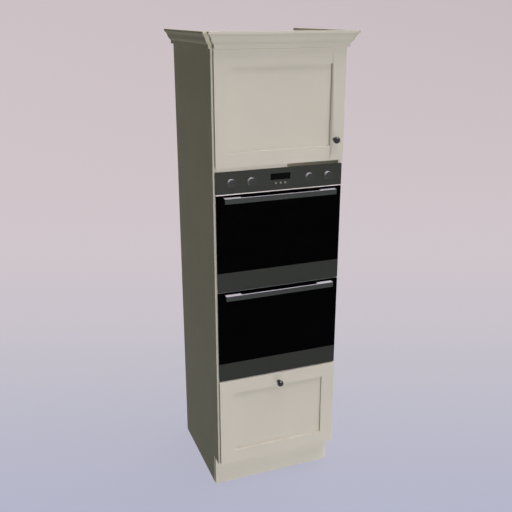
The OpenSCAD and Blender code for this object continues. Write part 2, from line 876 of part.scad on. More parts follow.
module runner_middle() {
    color([0.66, 0.67, 0.69]) place() {
        runner_bar(runner_t + runner_gap, outer_lip, middle_top);
        runner_bar(outer_lip, runner_w - runner_t - runner_gap, core_top);
    }
}

module runner_inner() {
    color([0.66, 0.67, 0.69]) place() difference() {
        runner_bar(outer_lip + runner_gap, runner_w, inner_top);
        both() box(-inner_half + outer_lip, -inner_half + runner_w - runner_t,
                   runner_set - eps, runner_set + runner_len + eps,
                   runner_z - inner_top + runner_t, runner_z + inner_top - runner_t);
    }
}

// ---- oven body ----

function cavity_z0(door_z) = door_z + cavity_up;

module casing_outline(inset) {
    front = casing_front + inset;
    nose = -fascia_gap - (inset > 0 ? eps : 0);
    polygon([[front, casing_z0 + inset], [casing_rear - inset, casing_z0 + inset],
             [casing_rear - inset, casing_z1 - inset],
             [housing_d - inset, casing_z1 - inset],
             [housing_d - inset, housing_z1 - inset], [nose, housing_z1 - inset],
             [nose, housing_z0 + inset], [front, housing_z0 + inset]]);
}

module casing_block(half, inset) {
    translate([-half, 0, 0]) rotate([90, 0, 90])
        linear_extrude(2 * half) casing_outline(inset);
}

gland_x = 200;
gland_r = 11;
gland_bore_r = 6;
gland_len = rear_air - 1;
gland_z = casing_z1 - 50;

module oven_casing() {
    color([0.62, 0.63, 0.64]) place() difference() {
        union() {
            difference() {
                casing_block(casing_half, 0);
                casing_block(casing_half - sheet, sheet);
            }
            rod_y(gland_r, casing_rear, casing_rear + gland_len, gland_x, gland_z);
        }
        for (door_z = [low_z0, up_z0])
            box(-cavity_half, cavity_half, casing_front - eps, cavity_y0 + eps,
                cavity_z0(door_z), cavity_z0(door_z) + cavity_h);
        rod_y(gland_bore_r, casing_rear - sheet - eps, casing_rear + gland_len + eps,
              gland_x, gland_z);
    }
}

module cavity(door_z) {
    z0 = cavity_z0(door_z);
    z1 = z0 + cavity_h;
    color([0.16, 0.17, 0.18]) place() {
        difference() {
            union() {
                box(-cavity_half - sheet, cavity_half + sheet, cavity_y0,
                    cavity_rear + sheet, z0 - sheet, z1 + sheet);
                box(-cavity_half - cavity_flange, cavity_half + cavity_flange,
                    cavity_y0, cavity_y0 + sheet,
                    z0 - cavity_flange, z1 + cavity_flange);
            }
            box(-cavity_half, cavity_half, cavity_y0 - eps, cavity_rear, z0, z1);
            rod_y(shaft_r + shaft_gap, cavity_rear - eps, cavity_rear + sheet + eps,
                  0, z0 + cavity_h / 2);
        }
        both() for (i = [0 : level_count - 1])
            box(-cavity_half, -cavity_half + ledge_out,
                cavity_y0 + cavity_flange, cavity_rear,
                z0 + level_first + i * level_pitch - ledge_h,
                z0 + level_first + i * level_pitch);
    }
}

module upper_cavity() { cavity(up_z0); }

module lower_cavity() { cavity(low_z0); }

module door_seals() {
    color([0.10, 0.10, 0.10]) place() for (door_z = [low_z0, up_z0]) difference() {
        box(-cavity_half - seal_w, cavity_half + seal_w, plug_y1 + seal_gap,
            casing_front, cavity_z0(door_z) - seal_w,
            cavity_z0(door_z) + cavity_h + seal_w);
        box(-cavity_half, cavity_half, plug_y1, casing_front + eps,
            cavity_z0(door_z), cavity_z0(door_z) + cavity_h);
    }
}

module oven_hinge_brackets() {
    foot_up = 22;
    foot_t = 2;
    color([0.66, 0.67, 0.69]) place() both() for (door_z = [low_z0, up_z0])
        difference() {
            union() {
                rod_x(eye_r, eye_x, eye_x + eye_t, pin_y, door_z + oven_pin_up);
                box(eye_x, eye_x + eye_t, pin_y, casing_front,
                    door_z + oven_pin_up - eye_r, door_z + oven_pin_up + eye_r);
                box(eye_x, casing_half, casing_front - foot_t, casing_front,
                    door_z + oven_pin_up - eye_r, door_z + foot_up);
            }
            rod_x(oven_pin_r + oven_pin_gap, eye_x - eps, eye_x + eye_t + eps,
                  pin_y, door_z + oven_pin_up);
        }
}

module wire_shelf(door_z) {
    half = cavity_half - rack_side_gap - rack_wire_r;
    z = cavity_z0(door_z) + level_first + rack_level * level_pitch + rack_wire_r;
    y0 = rack_y0;
    y1 = y0 + rack_d;
    rod_y(rack_wire_r, y0, y1, -half, z);
    rod_y(rack_wire_r, y0, y1, half, z);
    rod_x(rack_wire_r, -half, half, y0, z);
    rod_x(rack_wire_r, -half, half, y1, z);
    for (x = [-half, half], y = [y0, y1])
        translate([x, y, z]) sphere(r = rack_wire_r);
    count = floor(half / cross_pitch);
    for (i = [-count : count])
        rod_y(cross_wire_r, y0, y1, i * cross_pitch, z);
}

module wire_shelves() {
    color([0.80, 0.81, 0.83]) place() {
        wire_shelf(low_z0);
        wire_shelf(up_z0);
    }
}

// One tube in four runs, joined by half-circle bends; its two ends stand in
// the rear wall's sockets.
module heating_element(door_z) {
    z = cavity_z0(door_z) + cavity_h - element_down;
    bend_r = element_pitch / 2;
    y0 = cavity_rear - element_len;
    y_in = cavity_rear - bend_r - 4 * element_r;
    for (side = [-1, 1]) {
        rod_y(element_r, y0, cavity_rear, side * 3 * bend_r, z);
        rod_y(element_r, y0, y_in, side * bend_r, z);
        translate([side * 2 * bend_r, y0, z]) rotate([0, 0, 180])
            rotate_extrude(angle = 180) translate([bend_r, 0]) circle(r = element_r);
    }
    translate([0, y_in, z]) rotate_extrude(angle = 180)
        translate([bend_r, 0]) circle(r = element_r);
}

module heating_elements() {
    color([0.30, 0.31, 0.32]) place() {
        heating_element(low_z0);
        heating_element(up_z0);
    }
}

function fan_z(door_z) = cavity_z0(door_z) + cavity_h / 2;
motor_y0 = cavity_rear + sheet;

module fan_motors() {
    color([0.45, 0.46, 0.48]) place() for (door_z = [low_z0, up_z0]) difference() {
        rod_y(motor_r, motor_y0, motor_y0 + motor_len, 0, fan_z(door_z));
        rod_y(shaft_r + shaft_gap, motor_y0 - eps, motor_y0 + motor_len / 2, 0,
              fan_z(door_z));
    }
}

module fan(door_z) {
    z = fan_z(door_z);
    disc_y = cavity_rear - fan_gap;
    shaft_end = motor_y0 + motor_len / 2 - eps;
    color([0.55, 0.56, 0.58]) place() {
        rod_y(fan_r, disc_y - blade_t, disc_y, 0, z);
        rod_y(hub_r, disc_y - blade_d, disc_y, 0, z);
        rod_y(shaft_r, disc_y - blade_d, shaft_end, 0, z);
        for (i = [0 : blade_count - 1])
            translate([0, 0, z]) rotate([0, i * 360 / blade_count, 0])
                box(hub_r + blade_d, fan_r, disc_y - blade_d, disc_y,
                    -blade_t / 2, blade_t / 2);
    }
}

module upper_fan() { fan(up_z0); }

module lower_fan() { fan(low_z0); }

// ---- controls ----

display_z0 = control_z0 + display_up;
button_z = control_z0 + button_up;
tab_z = [control_z0 + 10, control_z0 + 60];
tab_len = 15;

module control_panel() {
    color([0.24, 0.25, 0.23]) place() difference() {
        union() {
            difference() {
                box(-front_w / 2, front_w / 2, glass_y0, frame_y1,
                    control_z0, control_z1);
                box(-front_w / 2 + control_t, front_w / 2 - control_t,
                    panel_back, frame_y1 + eps,
                    control_z0 + control_t, control_z1 - control_t);
            }
            both() box(casing_half - 2 * sheet, casing_half - sheet,
                       panel_back - eps, tab_len, tab_z[0], tab_z[1]);
        }
        for (x = dial_xs)
            rod_y(spindle_r + spindle_gap, glass_y0 - eps, panel_back + eps,
                  x, dial_z);
        for (i = [-1 : 1])
            rod_y(button_r + button_gap, glass_y0 - eps, panel_back + eps,
                  i * button_pitch, button_z);
        box(-display_w / 2, display_w / 2, glass_y0 - eps, panel_back + eps,
            display_z0, display_z0 + display_h);
    }
}

module display_window() {
    color([0.02, 0.02, 0.02]) place()
        box(-display_w / 2, display_w / 2, glass_y0, panel_back,
            display_z0, display_z0 + display_h);
}

// Rotary switches behind the knobs, and the board's case, whose raised face
// carries the display and seats against the control panel.
module control_electronics() {
    raised = 5;
    rear_gap = collar_t + button_travel + 0.5;
    color([0.20, 0.28, 0.22]) place() {
        for (x = dial_xs) difference() {
            box(x - switch_side / 2, x + switch_side / 2, panel_back,
                panel_back + switch_d,
                dial_z - switch_side / 2, dial_z + switch_side / 2);
            rod_y(spindle_r + spindle_gap, panel_back - eps,
                  panel_back + spindle_len + eps, x, dial_z);
        }
        box(-display_w / 2 - raised, display_w / 2 + raised,
            panel_back, panel_back + rear_gap, display_z0 - 1,
            display_z0 + display_h + raised);
        box(-display_w / 2 - raised, display_w / 2 + raised,
            panel_back + rear_gap, panel_back + board_case_d,
            button_z - 2 * button_r, display_z0 + display_h + raised);
    }
}

module dial(i) {
    x = dial_xs[i];
    y1 = glass_y0 - dial_gap;
    color([0.30, 0.31, 0.29]) place() {
        difference() {
            rod_y(dial_r, y1 - dial_d, y1, x, dial_z);
            translate([x, y1 - dial_d, dial_z]) rotate([-90, 0, 0])
                rotate_extrude() polygon([[dial_r - pointer_t, -eps],
                    [dial_r + eps, -eps], [dial_r + eps, pointer_t + eps],
                    [dial_r, pointer_t], [dial_r - pointer_t, 0]]);
        }
        box(x - pointer_w / 2, x + pointer_w / 2, y1 - dial_d - pointer_t,
            y1 - dial_d, dial_z, dial_z + dial_r - pointer_t);
        rod_y(spindle_r, y1 - dial_d / 2, panel_back + spindle_len, x, dial_z);
    }
}

module dial_1() { dial(0); }

module dial_2() { dial(1); }

module dial_3() { dial(2); }

module dial_4() { dial(3); }

module button(i) {
    x = i * button_pitch;
    color([0.55, 0.56, 0.55]) place() {
        rod_y(button_r, glass_y0 - button_out, panel_back, x, button_z);
        rod_y(button_r + collar_w, panel_back, panel_back + collar_t, x, button_z);
    }
}

module button_1() { button(-1); }

module button_2() { button(0); }

module button_3() { button(1); }

// ---- oven doors ----

module door_glass(z0) {
    color([0.02, 0.02, 0.02]) place()
        box(-front_w / 2, front_w / 2, glass_y0, glass_y0 + glass_t,
            z0 + band_h, z0 + oven_door_h);
}

module door_band(z0) {
    color([0.21, 0.22, 0.20]) place()
        translate([-front_w / 2, 0, z0]) rotate([90, 0, 90])
        linear_extrude(front_w)
        polygon([[glass_y0 + band_chamfer, 0], [glass_y0 + band_t, 0],
                 [glass_y0 + band_t, band_h], [glass_y0, band_h],
                 [glass_y0, band_chamfer]]);
}

// A folded pan behind the glass and band, a second pan that enters the niche,
// and a ring round the window that carries the inner glass.
module door_frame(z0) {
    z1 = z0 + oven_door_h;
    edge = front_w / 2 - frame_in;
    ring = inner_seat + 2;
    w = pan_wall;
    color([0.50, 0.51, 0.52]) place() {
        difference() {
            union() {
                difference() {
                    union() {
                        box(-edge, edge, glass_y0 + glass_t, frame_y1,
                            z0 + frame_up, z1);
                        box(-edge, edge, glass_y0 + band_t, frame_y1,
                            z0 + frame_up, z0 + band_h);
                        box(-plug_half, plug_half, frame_y1, plug_y1,
                            z0 + plug_up, z1 - plug_down);
                    }
                    box(-edge + w, edge - w, glass_y0, frame_y1 - w,
                        z0 + frame_up + w, z1 - w);
                    box(-plug_half + w, plug_half - w, glass_y0, plug_y1 - w,
                        z0 + plug_up + w, z1 - plug_down - w);
                }
                box(-window_half - ring, window_half + ring, glass_y0 + glass_t,
                    plug_y1, z0 + window_up - ring, z1 - window_down + ring);
            }
            box(-window_half, window_half, glass_y0, plug_y1 + eps,
                z0 + window_up, z1 - window_down);
            box(-window_half - inner_seat, window_half + inner_seat,
                plug_y1 - inner_t, plug_y1 + eps,
                z0 + window_up - inner_seat, z1 - window_down + inner_seat);
        }
        both() {
            box(plug_half - 2 - boss_w, plug_half - 2, glass_y0 + band_t,
                pin_y + eye_r, z0 + oven_pin_up - eye_r, z0 + frame_up + w);
            rod_x(oven_pin_r, plug_half - 2 - boss_w, eye_x + eye_t + 1,
                  pin_y, z0 + oven_pin_up);
        }
    }
}

module door_handle(z0) {
    z1 = z0 + oven_door_h - handle_down;
    half = handle_len / 2;
    color([0.35, 0.36, 0.34]) place() {
        box(-half, half, glass_y0 - handle_reach,
            glass_y0 - handle_reach + handle_bar, z1 - handle_h, z1);
        both() box(-half, -half + handle_block,
                   glass_y0 - handle_reach + handle_bar, glass_y0,
                   z1 - handle_h, z1);
    }
}

module inner_glass(z0) {
    half = window_half + inner_seat;
    color([0.10, 0.11, 0.11]) place()
        box(-half, half, plug_y1 - inner_t, plug_y1, z0 + window_up - inner_seat,
            z0 + oven_door_h - window_down + inner_seat);
}

module upper_inner_glass() { inner_glass(up_z0); }

module lower_inner_glass() { inner_glass(low_z0); }

module upper_door_glass() { door_glass(up_z0); }

module upper_door_band() { door_band(up_z0); }

module upper_door_frame() { door_frame(up_z0); }

module upper_door_handle() { door_handle(up_z0); }

module lower_door_glass() { door_glass(low_z0); }

module lower_door_band() { door_band(low_z0); }

module lower_door_frame() { door_frame(low_z0); }

module lower_door_handle() { door_handle(low_z0); }

side_panel_left();
side_panel_right();
top_panel();
cupboard_floor();
oven_shelf();
base_panel();
back_panels();
carcass_rails();
loose_shelf();
shelf_pins();
plinth_board();
angle_brackets();
cornice_front();
cornice_returns();
cupboard_door_stiles();
cupboard_door_rails();
cupboard_door_panel();
cupboard_door_knob();
hinge_cups();
hinge_arms();
drawer_front_stiles();
drawer_front_rails();
drawer_front_panel();
drawer_knob();
drawer_sides();
drawer_back();
drawer_floor();
runner_outer();
runner_middle();
runner_inner();
oven_casing();
upper_cavity();
lower_cavity();
door_seals();
oven_hinge_brackets();
wire_shelves();
heating_elements();
fan_motors();
upper_fan();
lower_fan();
control_panel();
display_window();
control_electronics();
dial_1();
dial_2();
dial_3();
dial_4();
button_1();
button_2();
button_3();
upper_door_glass();
upper_door_band();
upper_door_frame();
upper_door_handle();
lower_door_glass();
lower_door_band();
lower_door_frame();
lower_door_handle();
upper_inner_glass();
lower_inner_glass();
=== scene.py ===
import json
import math

import bmesh
import bpy
from mathutils import Matrix, Vector

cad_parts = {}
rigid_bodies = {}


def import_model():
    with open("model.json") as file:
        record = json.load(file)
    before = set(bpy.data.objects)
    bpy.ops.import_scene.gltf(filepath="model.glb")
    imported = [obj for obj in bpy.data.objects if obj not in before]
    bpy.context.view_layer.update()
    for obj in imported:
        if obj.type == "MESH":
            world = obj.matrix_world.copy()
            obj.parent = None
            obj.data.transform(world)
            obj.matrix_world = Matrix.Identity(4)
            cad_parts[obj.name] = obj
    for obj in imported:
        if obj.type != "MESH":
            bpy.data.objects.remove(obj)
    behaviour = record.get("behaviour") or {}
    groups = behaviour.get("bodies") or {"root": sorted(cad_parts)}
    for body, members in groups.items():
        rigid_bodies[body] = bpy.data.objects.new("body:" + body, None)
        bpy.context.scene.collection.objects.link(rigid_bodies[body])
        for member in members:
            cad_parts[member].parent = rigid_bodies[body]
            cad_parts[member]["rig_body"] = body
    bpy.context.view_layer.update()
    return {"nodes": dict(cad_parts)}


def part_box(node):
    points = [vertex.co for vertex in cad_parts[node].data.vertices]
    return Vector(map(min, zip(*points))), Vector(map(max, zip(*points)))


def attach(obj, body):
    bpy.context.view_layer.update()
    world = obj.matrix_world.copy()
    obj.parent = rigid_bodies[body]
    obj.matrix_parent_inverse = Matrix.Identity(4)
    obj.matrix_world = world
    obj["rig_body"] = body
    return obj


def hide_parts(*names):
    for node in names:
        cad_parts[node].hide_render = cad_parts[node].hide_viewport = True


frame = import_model()
nodes = frame["nodes"]
scene = bpy.context.scene


# ---- camera ----

CAMERA_AT = (-1.1434, -2.98475, 2.2036)
CAMERA_TILT = 0.334               # radians below the horizon
CAMERA_TURN = 0.363               # radians to the right of +Y
CAMERA_LENS = 48.98               # mm, on a sensor 36 mm wide
CAMERA_REACH = 60.0

cam_data = bpy.data.cameras.new("camera")
cam = bpy.data.objects.new("camera", cam_data)
scene.collection.objects.link(cam)
cam_data.sensor_width = 36.0
cam_data.lens = CAMERA_LENS
cam_data.clip_end = CAMERA_REACH
cam.location = CAMERA_AT
cam.rotation_euler = (math.pi / 2 - CAMERA_TILT, 0.0, -CAMERA_TURN)
scene.camera = cam


# ---- materials ----

def lin(r, g, b):
    """An sRGB colour, 0 to 255, as linear RGBA."""
    out = []
    for v in (r, g, b):
        v = v / 255
        out.append(v / 12.92 if v <= 0.04045 else ((v + 0.055) / 1.055) ** 2.4)
    return (*out, 1.0)


class Maker:
    """Builds one procedural material in the object's own coordinates, in metres."""

    def __init__(self, name):
        self.mat = bpy.data.materials.new(name)
        self.mat.use_nodes = True
        self.nt = self.mat.node_tree
        self.bsdf = next(n for n in self.nt.nodes if n.type == "BSDF_PRINCIPLED")
        self.coord = self.nt.nodes.new("ShaderNodeTexCoord").outputs["Object"]

    def put(self, socket, value):
        """Link a socket to another one, or give it a plain value."""
        if isinstance(value, bpy.types.NodeSocket):
            self.nt.links.new(value, socket)
        else:
            socket.default_value = value

    def set(self, **values):
        """Fill the shader's inputs; an underscore stands for a space in a name."""
        for key, value in values.items():
            self.put(self.bsdf.inputs[key.replace("_", " ")], value)
        return self

    def space(self, scale):
        """The coordinates, squeezed or stretched per axis."""
        node = self.nt.nodes.new("ShaderNodeMapping")
        self.nt.links.new(self.coord, node.inputs["Vector"])
        node.inputs["Scale"].default_value = scale
        return node.outputs["Vector"]

    def noise(self, scale, detail=4.0, stretch=(1, 1, 1), rough=0.5, distort=0.0):
        node = self.nt.nodes.new("ShaderNodeTexNoise")
        self.nt.links.new(self.space(stretch), node.inputs["Vector"])
        node.inputs["Scale"].default_value = scale
        node.inputs["Detail"].default_value = detail
        node.inputs["Roughness"].default_value = rough
        node.inputs["Distortion"].default_value = distort
        return node.outputs["Fac"]

    def cells(self, scale, output="Color", stretch=(1, 1, 1)):
        node = self.nt.nodes.new("ShaderNodeTexVoronoi")
        self.nt.links.new(self.space(stretch), node.inputs["Vector"])
        node.inputs["Scale"].default_value = scale
        return node.outputs[output]

    def span(self, value, lo, hi, a=0.3, b=0.7):
        """A value's range a to b turned into lo to hi."""
        node = self.nt.nodes.new("ShaderNodeMapRange")
        self.put(node.inputs["Value"], value)
        node.inputs["From Min"].default_value = a
        node.inputs["From Max"].default_value = b
        node.inputs["To Min"].default_value = lo
        node.inputs["To Max"].default_value = hi
        return node.outputs["Result"]

    def math(self, kind, a, b):
        node = self.nt.nodes.new("ShaderNodeMath")
        node.operation = kind
        self.put(node.inputs[0], a)
        self.put(node.inputs[1], b)
        return node.outputs[0]

    def mix(self, factor, a, b):
        colour_a, colour_b, colour_out = 6, 7, 2      # the sockets of a mix of colours
        node = self.nt.nodes.new("ShaderNodeMix")
        node.data_type = "RGBA"
        self.put(node.inputs["Factor"], factor)
        self.put(node.inputs[colour_a], a)
        self.put(node.inputs[colour_b], b)
        return node.outputs[colour_out]

    def bump(self, height, distance, strength=1.0, under=None):
        node = self.nt.nodes.new("ShaderNodeBump")
        self.put(node.inputs["Height"], height)
        node.inputs["Distance"].default_value = distance
        node.inputs["Strength"].default_value = strength
        if under is not None:
            self.nt.links.new(under, node.inputs["Normal"])
        self.put(self.bsdf.inputs["Normal"], node.outputs["Normal"])
        return node.outputs["Normal"]


def shade(colour, k):
    """A colour made lighter or darker by a factor."""
    return (colour[0] * k, colour[1] * k, colour[2] * k, 1.0)


def paint(name, colour, grain_axis, spec=0.35):
    """Sprayed satin paint on timber: orange peel, faint grain and soft blotches."""
    m = Maker(name)
    across_grain = 26.0
    stretch = [across_grain] * 3
    stretch["xyz".index(grain_axis)] = 1.0
    blotch = m.noise(3.0, 3.0)
    grain = m.noise(9.0, 6.0, stretch, 0.6, 0.4)
    peel = m.noise(420.0, 3.0)
    speck = m.noise(1500.0, 2.0)
    tone = m.mix(m.span(blotch, 0.0, 1.0), shade(colour, 0.965), shade(colour, 1.02))
    tone = m.mix(m.span(grain, 0.0, 0.10, 0.45, 0.75), tone, shade(colour, 0.86))
    tone = m.mix(m.span(speck, 0.0, 0.05, 0.62, 0.75), tone, shade(colour, 0.7))
    m.set(Base_Color=tone, Roughness=m.span(m.noise(24.0, 5.0), 0.44, 0.60))
    m.bsdf.inputs["Specular IOR Level"].default_value = spec
    low = m.bump(grain, 0.00035, 0.25)
    m.bump(peel, 0.00025, 0.30, low)
    return m.mat


def board(name, colour):
    """Melamine-faced board: fine pearl texture."""
    m = Maker(name)
    pearl = m.noise(900.0, 4.0)
    cloud = m.noise(5.0, 3.0)
    tone = m.mix(m.span(cloud, 0.0, 1.0), shade(colour, 0.95), shade(colour, 1.03))
    tone = m.mix(m.span(pearl, 0.0, 0.12, 0.5, 0.8), tone, shade(colour, 0.8))
    m.set(Base_Color=tone, Roughness=m.span(pearl, 0.5, 0.66))
    m.bump(pearl, 0.0002, 0.35)
    return m.mat


def brushed(name, colour, metal, rough, axis="x", fine=700.0, depth=0.00004, spec=0.5):
    """Metal with short brush lines along one axis."""
    m = Maker(name)
    along_brush = 0.02
    stretch = [1.0] * 3
    stretch["xyz".index(axis)] = along_brush
    lines = m.noise(fine, 5.0, stretch, 0.65)
    cloud = m.noise(7.0, 3.0)
    tone = m.mix(m.span(lines, 0.0, 1.0), shade(colour, 0.84), shade(colour, 1.14))
    tone = m.mix(m.span(cloud, 0.0, 0.25), tone, shade(colour, 0.9))
    m.set(Base_Color=tone, Roughness=m.span(lines, rough - 0.06, rough + 0.08))
    m.bsdf.inputs["Metallic"].default_value = metal
    m.bsdf.inputs["Specular IOR Level"].default_value = spec
    m.bump(lines, depth, 0.6)
    return m.mat


def black_glass(name, spec):
    """Back-printed glass: a faint dot screen under it and light smears on it."""
    m = Maker(name)
    smear = m.noise(6.0, 6.0, (1, 1, 2.5), 0.6, 0.8)
    dots = m.cells(520.0, "Distance")
    base = m.mix(m.span(dots, 1.0, 0.0, 0.1, 0.3), lin(0, 0, 0), lin(4, 4, 5))
    m.set(Base_Color=base, Roughness=m.span(smear, 0.05, 0.16))
    m.bsdf.inputs["Specular IOR Level"].default_value = spec
    m.bump(m.noise(3.0, 2.0), 0.00025, 0.15)
    return m.mat


def enamel(name):
    """Dark glossy enamel with pale flecks."""
    m = Maker(name)
    speck = m.cells(620.0, "Distance")
    blend = m.noise(260.0, 3.0)
    fleck = m.math("MULTIPLY", m.span(speck, 1.0, 0.0, 0.12, 0.2),
                   m.span(blend, 0.0, 1.0, 0.5, 0.6))
    m.set(Base_Color=m.mix(fleck, lin(34, 36, 42), lin(120, 126, 136)),
          Roughness=m.span(blend, 0.16, 0.30))
    m.bump(m.noise(90.0, 3.0), 0.0002, 0.3)
    return m.mat


def galvanised(name, colour, metal=0.75):
    """Zinc-coated sheet with a faint spangle."""
    m = Maker(name)
    spangle = m.cells(85.0, "Color")
    fine = m.noise(400.0, 4.0)
    tone = m.mix(m.span(spangle, 0.0, 1.0, 0.0, 1.0), shade(colour, 0.93), shade(colour, 1.06))
    m.set(Base_Color=tone, Roughness=m.span(spangle, 0.38, 0.46, 0.0, 1.0))
    m.bsdf.inputs["Metallic"].default_value = metal
    m.bump(fine, 0.00005, 0.5)
    return m.mat


def moulded(name, colour, rough, spec=0.5, grain=700.0, depth=0.00008):
    """A plain cast, moulded or sprayed surface with fine pits."""
    m = Maker(name)
    pits = m.noise(grain, 4.0)
    cloud = m.noise(12.0, 3.0)
    tone = m.mix(m.span(cloud, 0.0, 1.0), shade(colour, 0.9), shade(colour, 1.1))
    m.set(Base_Color=tone, Roughness=m.span(pits, rough - 0.07, rough + 0.08))
    m.bsdf.inputs["Specular IOR Level"].default_value = spec
    m.bump(pits, depth, 0.6)
    return m.mat


def clear_glass(name, tint, alpha):
    """Tinted glass that is partly see-through, with light smears."""
    m = Maker(name)
    smear = m.noise(7.0, 5.0)
    m.set(Base_Color=m.mix(m.span(smear, 0.0, 1.0), shade(tint, 0.9), tint),
          Roughness=m.span(smear, 0.03, 0.10))
    m.bsdf.inputs["Alpha"].default_value = alpha
    m.bump(smear, 0.0001, 0.1)
    return m.mat


CREAM = lin(188, 182, 171)
# A darker, yellower copy of the cream for the sides: partly a second paint tone, partly painted shade
# for the shaded sides.
SIDE_SHADED_CREAM = lin(178, 174, 157)
PLINTH_LIGHTENING = 1.09                # painted light: the plinth's paint made lighter than the fronts' against its shade

mats = {
    "paint_x": paint("cream_paint_x", CREAM, "x"),
    "paint_z": paint("cream_paint_z", CREAM, "z"),
    # Side paint for the side panels and cornice returns: darker and yellower than the fronts', partly
    # painted shade.
    "side_shaded_z": paint("side_paint_shaded_z", SIDE_SHADED_CREAM, "z", 0.05),
    "side_shaded_y": paint("side_paint_shaded_y", SIDE_SHADED_CREAM, "y", 0.05),
    "board": board("melamine", lin(196, 191, 181)),
    "iron": moulded("satin_black", lin(5, 5, 5), 0.22, 0.9, 500.0, 0.00003),
    "zinc": galvanised("zinc_plate", lin(188, 190, 194)),
    "steel": brushed("dark_brushed_steel", lin(39, 41, 35), 0.35, 0.42, "x", 700.0, 0.00004, 0.25),
    "panel_steel": brushed("panel_steel", lin(43, 45, 39), 0.35, 0.42, "x", 700.0, 0.00004, 0.25),
    "handle": brushed("handle_metal", lin(48, 50, 46), 0.4, 0.34, "x", 620.0, 0.00004, 0.4),
    "dial": brushed("dial_metal", lin(46, 48, 44), 0.35, 0.38, "z", 600.0, 0.00003, 0.3),
    # Painted light: the plinth's paint is lightened to offset the shade under the drawer front.
    "plinth": paint("plinth_paint_lightened", shade(CREAM, PLINTH_LIGHTENING), "x"),
    "trim": brushed("trim_metal", lin(214, 204, 198), 0.30, 0.34, "x", 620.0, 0.00003, 0.5),
    # Painted highlight: near-white metal for the handles' top faces and the dials' side walls,
    # standing in for the light they catch.
    "polished": brushed("painted_highlight_metal", lin(226, 222, 232), 0.30, 0.30, "x", 620.0, 0.00003, 0.8),
    "glass": black_glass("black_glass", 0.03),
    "display": black_glass("display_glass", 0.10),
    "inner_glass": clear_glass("tinted_glass", lin(60, 64, 64), 0.45),
    "enamel": enamel("speckled_enamel"),
    "casing": galvanised("casing_sheet", lin(170, 173, 176)),
    "pan": galvanised("door_pan_sheet", lin(112, 114, 116), 0.6),
    "seal": moulded("seal_rubber", lin(32, 32, 33), 0.62, 0.35, 900.0, 0.0001),
    "chrome": brushed("chrome_wire", lin(214, 216, 220), 1.0, 0.14, "y", 500.0, 0.00002),
    "element": moulded("oxidised_element", lin(58, 54, 50), 0.5, 0.5, 500.0, 0.0001),
    "plastic": moulded("switch_plastic", lin(70, 78, 72), 0.5),
    "button": brushed("button_metal", lin(120, 118, 104), 0.5, 0.35, "z", 600.0, 0.00003),
}

# The side panels and cornice returns take the side paint that carries painted shade.
NODE_MATS = {
    "side_panel_left": "side_shaded_z", "side_panel_right": "side_shaded_z", "top_panel": "board",
    "cupboard_floor": "board", "oven_shelf": "board", "base_panel": "board",
    "back_panels": "board", "carcass_rails": "board", "loose_shelf": "board",
    "shelf_pins": "zinc", "plinth_board": "plinth", "angle_brackets": "zinc",
    "cornice_front": "paint_x", "cornice_returns": "side_shaded_y",
    "cupboard_door_stiles": "paint_z", "cupboard_door_rails": "paint_x",
    "cupboard_door_panel": "paint_z", "cupboard_door_knob": "iron",
    "hinge_cups": "zinc", "hinge_arms": "zinc",
    "drawer_front_stiles": "paint_z", "drawer_front_rails": "paint_x",
    "drawer_front_panel": "paint_z", "drawer_knob": "iron",
    "drawer_sides": "board", "drawer_back": "board", "drawer_floor": "board",
    "runner_outer": "zinc", "runner_middle": "zinc", "runner_inner": "zinc",
    "oven_casing": "casing", "upper_cavity": "enamel", "lower_cavity": "enamel",
    "door_seals": "seal", "oven_hinge_brackets": "zinc", "wire_shelves": "chrome",
    "heating_elements": "element", "fan_motors": "casing",
    "upper_fan": "zinc", "lower_fan": "zinc",
    "control_panel": "panel_steel", "display_window": "display",
    "control_electronics": "plastic",
    "dial_1": "dial", "dial_2": "dial", "dial_3": "dial", "dial_4": "dial",
    "button_1": "button", "button_2": "button", "button_3": "button",
    "upper_door_glass": "glass", "upper_door_band": "steel",
    "upper_door_frame": "pan", "upper_door_handle": "handle",
    "lower_door_glass": "glass", "lower_door_band": "steel",
    "lower_door_frame": "pan", "lower_door_handle": "handle",
    "upper_inner_glass": "inner_glass", "lower_inner_glass": "inner_glass",
}


def dress(obj, key):
    """Give an object one of the materials, alone."""
    obj.data.materials.clear()
    obj.data.materials.append(mats[key])


for name, key in NODE_MATS.items():
    dress(nodes[name], key)


# ---- softened copies of the flat-faced pieces ----

FRONT_EDGE = 0.0009               # rounding of the framed fronts
LEDGE_EDGE = 0.0022               # the same, on the edges that catch the light
BOARD_EDGE = 0.0007
CORNICE_EDGE = 0.0008
HANDLE_EDGE = 0.0010
KNOB_EDGE = 0.0004
OVEN_EDGE = 0.0005
SHARP = math.radians(28)          # edges flatter than this are left as they are
DOUBLE = 1e-6                     # corners closer than this are one
ON_JOINT = 2e-4


def finish_piece(name, bm, body, key, smooth_angle=40.0, stands_for=(), extra=()):
    """Make an object; extra holds (material key, test of a face) pairs."""
    me = bpy.data.meshes.new(name)
    bm.normal_update()
    picks = [0] * len(bm.faces)
    for k, face in enumerate(bm.faces):
        for i, (_, test) in enumerate(extra, 1):
            if test(face):
                picks[k] = i
    bm.to_mesh(me)
    bm.free()
    me.polygons.foreach_set("use_smooth", [True] * len(me.polygons))
    me.set_sharp_from_angle(angle=math.radians(smooth_angle))
    ob = bpy.data.objects.new(name, me)
    scene.collection.objects.link(ob)
    dress(ob, key)
    for other, _ in extra:
        me.materials.append(mats[other])
    me.polygons.foreach_set("material_index", picks)
    weighted = ob.modifiers.new("weighted_normals", "WEIGHTED_NORMAL")
    weighted.keep_sharp = True
    weighted.weight = 100
    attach(ob, body)
    if stands_for:
        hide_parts(*stands_for)
    return ob


def bevel(bm, width, segments, pick):
    """Round the sharp edges for which pick says yes."""
    edges = [e for e in bm.edges
             if len(e.link_faces) == 2 and e.calc_face_angle(0.0) > SHARP and pick(e)]
    bmesh.ops.bevel(bm, geom=edges, offset=width, segments=segments, profile=0.5,
                    affect="EDGES", clamp_overlap=True)


